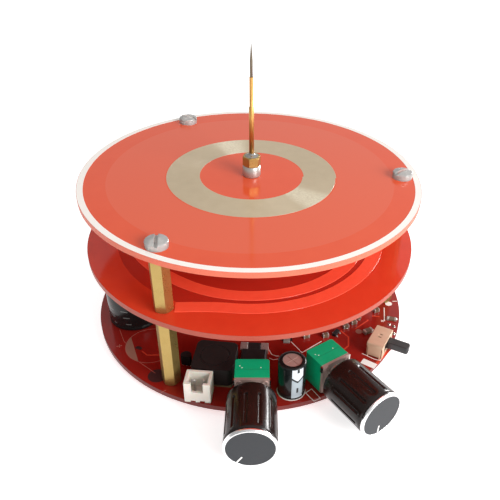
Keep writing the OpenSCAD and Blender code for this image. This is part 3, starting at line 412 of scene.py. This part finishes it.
def grow(name, shape, sizes, finish):
    # runs a geometry tree once and keeps its result as a plain mesh
    tree = bpy.data.node_groups.new(name, "GeometryNodeTree")
    keys = {}
    for label, value in sizes.items():
        kind = "NodeSocketInt" if isinstance(value, int) else "NodeSocketFloat"
        keys[label] = tree.interface.new_socket(label, in_out="INPUT", socket_type=kind).identifier
    tree.interface.new_socket("Geometry", in_out="OUTPUT", socket_type="NodeSocketGeometry")
    m = Maker(tree)
    entry = tree.nodes.new("NodeGroupInput")
    made = shape(m, {label: Value(m, entry.outputs[label]) for label in sizes})
    made = m.node("GeometryNodeRealizeInstances", None, (made,))
    made = m.node("GeometryNodeSetMaterial", None, {"Geometry": made, "Material": finishes[finish]})
    tree.links.new(made.socket, tree.nodes.new("NodeGroupOutput").inputs[0])
    host = bpy.data.objects.new(name, bpy.data.meshes.new(name))
    bpy.context.scene.collection.objects.link(host)
    modifier = host.modifiers.new("shape", "NODES")
    modifier.node_group = tree
    for label, value in sizes.items():
        modifier[keys[label]] = value
    graph = bpy.context.evaluated_depsgraph_get()
    mesh = bpy.data.meshes.new_from_object(host.evaluated_get(graph), depsgraph=graph)
    bpy.data.objects.remove(host)
    bm = bmesh.new()
    bm.from_mesh(mesh)
    bmesh.ops.remove_doubles(bm, verts=bm.verts, dist=1e-7)
    bmesh.ops.recalc_face_normals(bm, faces=bm.faces)
    bm.to_mesh(mesh)
    bm.free()
    smooth(mesh, 30)
    return meshPiece(name, mesh, finishes[finish])


# shapes: each gives its points in mm and its faces
def seat(x, y, faces, z=4.0):  # a part's own frame on the control board
    return Matrix.Scale(mm, 4) @ Matrix.Translation((x, y, z)) @ Matrix.Rotation(math.radians(faces), 4,
                                                                                 "Z")


def ribbon(path, width, level, height):
    # a flat raised line that follows a path
    last = len(path) - 1
    points, faces = [], []
    for k in range(len(path)):
        here = Vector(path[k])
        one = (here - Vector(path[k - 1])).normalized() if k else (Vector(path[1]) - here).normalized()
        two = (Vector(path[k + 1]) - here).normalized() if k < last else one
        way = (one + two).normalized()
        side = Vector((-way.y, way.x)) * (width / 2 / max(0.5, way.dot(one)))
        for s, z in ((-1, level), (1, level), (1, level + height), (-1, level + height)):
            points.append((here.x + s * side.x, here.y + s * side.y, z))
    for k in range(last):
        for q in range(4):
            n = (q + 1) % 4
            faces.append((4 * k + q, 4 * k + n, 4 * k + 4 + n, 4 * k + 4 + q))
    faces += [(3, 2, 1, 0), tuple(4 * last + q for q in range(4))]
    return points, faces


def slab(outline, level, height):
    count = len(outline)
    points = [(x, y, z) for z in (level, level + height) for x, y in outline]
    faces = [tuple(reversed(range(count))), tuple(range(count, 2 * count))]
    faces += [(k, (k + 1) % count, count + (k + 1) % count, count + k) for k in range(count)]
    return points, faces


def ringOf(cx, cy, inner, outer, level, height, steps=48):
    points, faces = [], []
    for r, z in ((inner, level), (outer, level), (outer, level + height), (inner, level + height)):
        points += [(x, y, z) for x, y in arc(cx, cy, r, 0, 360, steps)]
    for q in range(4):
        for k in range(steps):
            n, p = (k + 1) % steps, (q + 1) % 4
            faces.append((q * steps + k, q * steps + n, p * steps + n, p * steps + k))
    return points, faces


def dome(cx, cy, level, r, height, rows=3, steps=12):
    points, faces = [(cx, cy, level)], []
    for j in range(rows):
        a = math.radians(90 * j / rows)
        points += [(x, y, level + height * math.sin(a)) for x,
                   y in arc(cx, cy, r * math.cos(a), 0, 360, steps)]
    points.append((cx, cy, level + height))
    for k in range(steps):
        n = (k + 1) % steps
        faces.append((0, 1 + n, 1 + k))
        for j in range(rows - 1):
            a, b = 1 + j * steps, 1 + (j + 1) * steps
            faces.append((a + k, a + n, b + n, b + k))
        top = 1 + (rows - 1) * steps
        faces.append((top + k, top + n, len(points) - 1))
    return points, faces


def join(*parts):
    points, faces = [], []
    for more, sides in parts:
        faces += [tuple(k + len(points) for k in side) for side in sides]
        points += more
    return points, faces


def arc(cx, cy, r, start, end, steps, squash=1.0, turn=0.0):
    # points along an arc; a full circle leaves out its doubled last point
    closed = abs(end - start) >= 360
    c, s = math.cos(math.radians(turn)), math.sin(math.radians(turn))
    path = []
    for k in range(steps + (0 if closed else 1)):
        a = math.radians(start + (end - start) * k / steps)
        x, y = r * math.cos(a), r * squash * math.sin(a)
        path.append((cx + c * x - s * y, cy + s * x + c * y))
    return path


def block(cx, cy, w, h, turn=0.0):
    c, s = math.cos(math.radians(turn)), math.sin(math.radians(turn))
    corners = ((-w / 2, -h / 2), (w / 2, -h / 2), (w / 2, h / 2), (-w / 2, h / 2))
    return [(cx + c * x - s * y, cy + s * x + c * y) for x, y in corners]


# camera, lights, floor
scene = bpy.context.scene
eye, target = Vector(view["position"]) * mm, Vector(view["target"]) * mm
back = (eye - target).normalized()
right = Vector((0, 0, 1)).cross(back).normalized()
camera = bpy.data.objects.new("camera", bpy.data.cameras.new("camera"))
camera.matrix_world = (Matrix.Translation(eye)
                       @ Matrix((right, back.cross(right), back)).transposed().to_4x4()
                       @ Matrix.Rotation(math.radians(view["roll"]), 4, "Z"))
camera.data.lens, camera.data.sensor_width = view["lens"], 36
camera.data.shift_x, camera.data.shift_y = view["shift"]
camera.data.clip_start, camera.data.clip_end = 0.01, 20
scene.collection.objects.link(camera)
scene.camera = camera

for spec in lamps:
    lamp = bpy.data.objects.new(spec["name"], bpy.data.lights.new(spec["name"], "AREA"))
    lamp.data.shape, lamp.data.energy = "RECTANGLE", spec["power"]
    lamp.data.size, lamp.data.size_y = spec["size"]
    lamp.visible_diffuse = spec["diffuse"]
    lamp.visible_camera = False
    spot = Vector(spec["at"])
    turn = (spot - Vector(spec["aim"])).to_track_quat("Z", "Y").to_matrix().to_4x4()
    lamp.matrix_world = Matrix.Translation(spot) @ turn
    scene.collection.objects.link(lamp)

world = bpy.data.worlds.new("studio")
world.use_nodes = True
sky = Maker(world.node_tree)
towards = Vector(skyLook["towards"]).normalized()
facing = sky.vector("DOT_PRODUCT", sky.node("ShaderNodeTexCoord", out="Generated"), tuple(towards),
                    out="Value")
background = world.node_tree.nodes["Background"]
background.inputs["Color"].default_value = (1, 0.995, 0.99, 1)
world.node_tree.links.new(facing.ease(-1, 1, skyLook["dim"], skyLook["bright"]).socket,
                          background.inputs["Strength"])
scene.world = world
scene.view_settings.view_transform = "Standard"


def floorMake(m):
    low, high = floorLook["low"], floorLook["high"]
    return {"Base_Color": m.mix(m.noise(400, 2), (low, low, low, 1), (high, high, high, 1)),
            "Roughness": m.noise(60, 2) * 0.1 + 0.7}


finishes["floor"] = finishOf("floorFinish", floorMake, Emission_Color=(1, 1, 1, 1),
                             Emission_Strength=floorLook["glow"])
floorSize = floorLook["size"] / mm
corners = [(x, y, 0) for x, y in block(0, 0, floorSize, floorSize)]
build("floor", (corners, [(0, 1, 2, 3)]), "floor")
print("camera, lights and floor ready")

# boards and windings
topLevel, midLevel, lowLevel = 50.2, 30.6, 4.0
for board, finish in (("secondary_board", "topBoard"), ("primary_board", "shadedMidBoard"),
                      ("control_board", "shadedLowBoard")):
    dress(finish, board)

rimInk = {"inner": 48.15, "outer": 49.9, "height": 0.03}
rim = ringOf(0, 0, rimInk["inner"], rimInk["outer"], topLevel, rimInk["height"], 180)
keep(build("rimInk", rim, "ink"), "stack", "red_laminate")

secondary = {"inner radius": 15.1, "outer radius": 25.1, "turns": 32, "track": 0.302, "height": 0.03,
             "level": topLevel}
primary = {"points": 300, "turns": 1.8, "start": -113.7, "radius": 39.05, "pitch": 5.6,
           "lead rise": 4.25, "lead sweep": 20.0, "step start": 270.0, "step sweep": 85.0,
           "track": 4.15, "height": 0.12, "level": midLevel}


def sweepAlong(m, path, profile):
    path = m.node("GeometryNodeSetCurveNormal", {"mode": "Z_UP"}, (path,))
    return m.node("GeometryNodeCurveToMesh", None,
                  {"Curve": path, "Profile Curve": profile, "Fill Caps": True})


def lifted(m, curve, x, y, z):
    offset = m.node("ShaderNodeCombineXYZ", None, (x, y, z))
    return m.node("GeometryNodeSetPosition", None, {"Geometry": curve, "Offset": offset})


def flatSection(m, width, height):  # a track's section: its -Y side is up once it is swept
    section = m.node("GeometryNodeCurvePrimitiveQuadrilateral", {"mode": "TRAPEZOID"},
                     {"Height": height, "Bottom Width": width - height, "Top Width": width, "Offset": 0.0})
    return lifted(m, section, 0.0, height * -0.5, 0.0)


def secondaryShape(m, s):
    half = s["track"] * (mm / 2)
    path = m.node("GeometryNodeCurveSpiral", None,
                  {"Resolution": 96, "Rotations": s["turns"] * 1.0, "Height": 0.0,
                   "Start Radius": s["inner radius"] * mm + half,
                   "End Radius": s["outer radius"] * mm - half})
    return sweepAlong(m, lifted(m, path, 0.0, 0.0, s["level"] * mm),
                      flatSection(m, half * 2, s["height"] * mm))


def primaryShape(m, s):
    line = m.node("GeometryNodeMeshLine", None, {"Count": s["points"]})
    swept = m.node("GeometryNodeInputIndex") / (s["points"] - 1) * (s["turns"] * 360)
    rise = m.sum("MAXIMUM", 1 - swept / s["lead sweep"], 0.0) ** 2 * s["lead rise"]
    inward = 0
    for turn in range(3):
        step = (swept - s["step start"] - 360 * turn) / s["step sweep"]
        inward = step.ease(0, 1) + inward
    r = (s["radius"] + rise - inward * s["pitch"]) * mm
    a = (swept + s["start"]) * math.radians(1)
    there = m.node("ShaderNodeCombineXYZ", None,
                   (r * m.sum("COSINE", a), r * m.sum("SINE", a), s["level"] * mm))
    line = m.node("GeometryNodeSetPosition", None, {"Geometry": line, "Position": there})
    path = m.node("GeometryNodeMeshToCurve", None, (line,))
    return sweepAlong(m, path, flatSection(m, s["track"] * mm, s["height"] * mm))


spiral = grow("secondarySpiral", secondaryShape, secondary, "tin")
keep(spiral, "stack", "tinned_copper", "secondary_winding")
spiral = grow("primarySpiral", primaryShape, primary, "copper")
keep(spiral, "stack", "lacquered_copper", "primary_winding")
print("boards and windings ready")


# printed marks, pads and traces on the control board
def line(width, *path):
    return ("line", width, path)


# each finish: its height over the board, then its marks
boardMarks = {
    "shade": (0.012, [("slab", arc(-29.2, -26.0, 7.6, 155, 252, 24)),
                      ("slab", arc(35.5, -15.3, 1.1, 0, 360, 16))]),
    # a lead hole, then a dark disc beside the front-left spacer that is a painted dark reflection of the
    # board above
    "hole": (0.016, [("slab", arc(-32.7, -27.4, 1.15, 0, 360, 16, 0.6, -20)),
                     ("slab", arc(-24.8, -38.9, 2.7, 0, 360, 24))]),
    "faint": (0.018, [line(0.16, *arc(-29.2, -26.0, 7.7, 60, 330, 54)),
                      line(0.16, (-40.5, -19.4), (-37.9, -24.7), (-36.6, -26.1)),
                      line(0.24, (-39.6, -27.2), (-38.0, -26.6)),
                      line(0.24, (-38.9, -26.2), (-38.6, -27.6)),
                      line(0.2, (-22.4, -45.3), (-21.2, -44.4)),
                      line(0.18, (-31.6, -33.2), (-29.3, -35.0), (-25.5, -37.9))]),
    "trace": (0.02, [line(0.42, (-31.4, -28.8), (-29.5, -30.4), (-25.7, -30.1)),
                     line(0.5, (40.4, -7.1), (42.9, -7.3)),
                     line(0.5, (29.7, -15.2), (30.5, -16.4), (32.0, -18.2), (31.8, -22.4), (30.5, -23.9)),
                     line(0.5, (34.5, -14.0), (38.5, -9.9), (39.0, -9.2)),
                     line(0.9, (6.9, -25.9), (7.1, -27.8)),
                     line(0.9, (44.9, -22.8), (39.3, -30.8))]),
    "ink": (0.026, [line(0.3, (48.1, 1.3), (49.6, 1.4)), line(0.3, (44.9, -2.4), (44.3, -9.5)),
                    line(0.3, (43.2, -9.1), (44.0, -9.9)), line(0.3, (43.2, -9.9), (44.0, -9.1)),
                    line(0.2, (20.2, -41.5), (22.7, -45.0), (20.9, -46.2), (18.5, -43.2), (20.2, -41.5)),
                    line(0.24, (35.8, -25.6), (37.1, -26.4), (39.5, -28.0), (41.2, -28.4), (42.2, -26.1)),
                    line(0.26, (13.9, -21.7), (17.3, -26.4), (23.4, -20.8)),
                    line(0.22, (7.4, -29.4), (8.6, -30.1), (10.0, -29.7)),
                    line(0.22, (7.0, -25.6), (8.1, -27.8), (9.4, -28.4), (10.4, -28.4))]),
    "white_print": (0.03, [("slab", block(37.6, -30.0, 4.6, 2.3, -30.5)),
                           ("slab", arc(46.6, -0.2, 1.2, 0, 360, 24, 0.9, 20))]),
}
for finish, (height, marks) in boardMarks.items():
    shapes = []
    for mark in marks:
        if mark[0] == "line":
            shapes.append(ribbon(mark[2], mark[1], lowLevel, height))
        else:
            shapes.append(slab(mark[1], lowLevel, height))
    keep(build(finish + "Marks", join(*shapes), finish), "stack", "red_laminate")
footRing = build("filterFootRing", ringOf(14.33, -42.34, 3.4, 4.12, lowLevel, 0.1), "ink")
keep(footRing, "stack", "red_laminate")

solderBeads = {"radius": 0.62, "height": 0.42,
               "places": [(42.0, -4.6), (33.6, -11.2), (31.6, -13.7), (48.1, -8.2), (45.7, -11.3),
                          (47.1, -12.2), (46.7, -15.7), (43.1, -22.9), (44.1, -22.5)]}
beads = [dome(x, y, lowLevel, solderBeads["radius"] * (0.85 + 0.1 * (k % 4)), solderBeads["height"])
         for k, (x, y) in enumerate(solderBeads["places"])]
keep(build("solderBeads", join(*beads), "solder", angle=80), "stack", "solder")
print("marks and solder ready")

# spacers, screws and electrode
# each node: its finish and the width of its eased edges
mainNodes = {
    "lower_spacers": ("brass", 0.1), "upper_spacers": ("brass", 0.1), "top_screws": ("nylon", 0.12),
    "foot_screws": ("nylon", 0.1), "electrode_nut": ("brass", 0.1), "electrode_socket": ("lead", 0),
    "electrode_solder": ("solder", 0), "electrode_rod": ("rodBrass", 0), "electrode_needle": ("steel", 0),
    "solder_joints": ("solder", 0)}
for node, (finish, width) in mainNodes.items():
    soften(node, finish, width)

# rotary controls, each in a frame at its bracket's face: +X along the shaft
control = {"bodyWidth": 9.5, "bodyTop": 10.6, "shaftHeight": 6, "discTop": 19.3, "discRadius": 6.3,
           "lineWidth": 0.4, "lineFrom": 0.61, "lineRise": 0.1, "lineSunk": 0.115, "lineGap": 0.04,
           "seam": -4.0, "seamWidth": 0.14, "seamRise": 0.012,
           "pips": [(-4.6, -2.8), (-5.3, -3.4), (-4.6, 2.4)], "pipRadius": 0.17, "pipHeight": 0.12,
           "lugDepth": 0.8, "lugWidth": 0.35, "lugTop": 10.4, "lugFeet": ((-1, 8.4), (1, 7.2))}
controlNodes = {"pot_body": ("green", 0.15), "pot_bracket": ("plate", 0.08), "pot_bush": ("nickel", 0),
                "pot_pins": ("lead", 0), "shaft": ("nickel", 0), "knob": ("knob", 0.06),
                "knob_ring": ("ring", 0.05)}
controlPlaces = {"left": ((3.618, -49.267, -86.8), -123.5), "right": ((26.628, -40.537, -52.3), -95.5)}
for side, (place, pointer) in controlPlaces.items():
    for part, (finish, width) in controlNodes.items():
        soften(side + "_" + part, finish, width)
    dress("slate", side + "_knob_disc")
    rear = seat(*place)
    axle = Matrix.Translation((0, 0, control["shaftHeight"])) @ Matrix.Rotation(math.radians(90), 4, "Y")
    turn = Matrix.Rotation(math.radians(90 + pointer), 4, "Z")
    r, half = control["discRadius"], control["lineWidth"] / 2
    near, far = control["lineFrom"] * r, r - control["lineGap"]
    outline = [(near, -half), (far, -half), (far, half), (near, half)]
    stroke = slab(outline, control["discTop"] - control["lineSunk"], control["lineRise"])
    stroke = build(side + "PointerLine", stroke, "white_print", rear @ axle @ turn)
    keep(stroke, side + "_control", "bright_ring")
    top, edge = control["bodyTop"], control["bodyWidth"] / 2
    # small domes on each pot top, their cream colour a painted highlight
    pips = [dome(x, y, top - 0.02, control["pipRadius"], control["pipHeight"]) for x, y in control["pips"]]
    keep(build(side + "PotGlintPips", join(*pips), "ink", rear, 80), "stack", slotOf[side + "_pot_body"])
    seam = block(control["seam"], 0, control["seamWidth"], 2 * edge - 0.5)
    seam = build(side + "PotSeam", slab(seam, top, control["seamRise"]), "greenSeam", rear)
    keep(seam, "stack", slotOf[side + "_pot_body"])
    depth, wide, lugs = control["lugDepth"], control["lugWidth"], []
    for way, foot in control["lugFeet"]:
        outline = block(-depth / 2, way * (edge + wide / 2), depth, wide)
        lugs.append(slab(outline, foot, control["lugTop"] - foot))
    keep(build(side + "PotLugs", join(*lugs), "nickel", rear), "stack", slotOf[side + "_pot_bracket"])
print("controls ready")

# switch, header, capacitors and small parts
smallNodes = {
    "switch_shell": ("tan", 0.12), "switch_slider": ("lever", 0.15), "switch_base": ("phenolic", 0),
    "header_housing": ("white", 0.1), "header_pins": ("lead", 0), "choke_core": ("ferrite", 0.2),
    "choke_base": ("tanBase", 0.08), "power_transistor": ("epoxy", 0.12), "power_leads": ("lead", 0.06),
    "signal_transistor": ("epoxy", 0.1), "signal_leads": ("lead", 0), "diode_body": ("epoxy", 0.1),
    "diode_terminals": ("lead", 0.04), "switch_transistor": ("epoxy", 0.06),
    "switch_transistor_legs": ("lead", 0), "chip_bodies": ("chip", 0.06), "chip_ends": ("lead", 0.08),
    "reservoir_sleeve": ("dashedSleeve", 0), "filter_sleeve": ("stripedSleeve", 0),
    "reservoir_leads": ("lead", 0), "filter_leads": ("lead", 0), "switch_pins": ("lead", 0)}
for node, (finish, width) in smallNodes.items():
    soften(node, finish, width)
dress("can", "reservoir_can", "filter_can")
print("small parts ready")
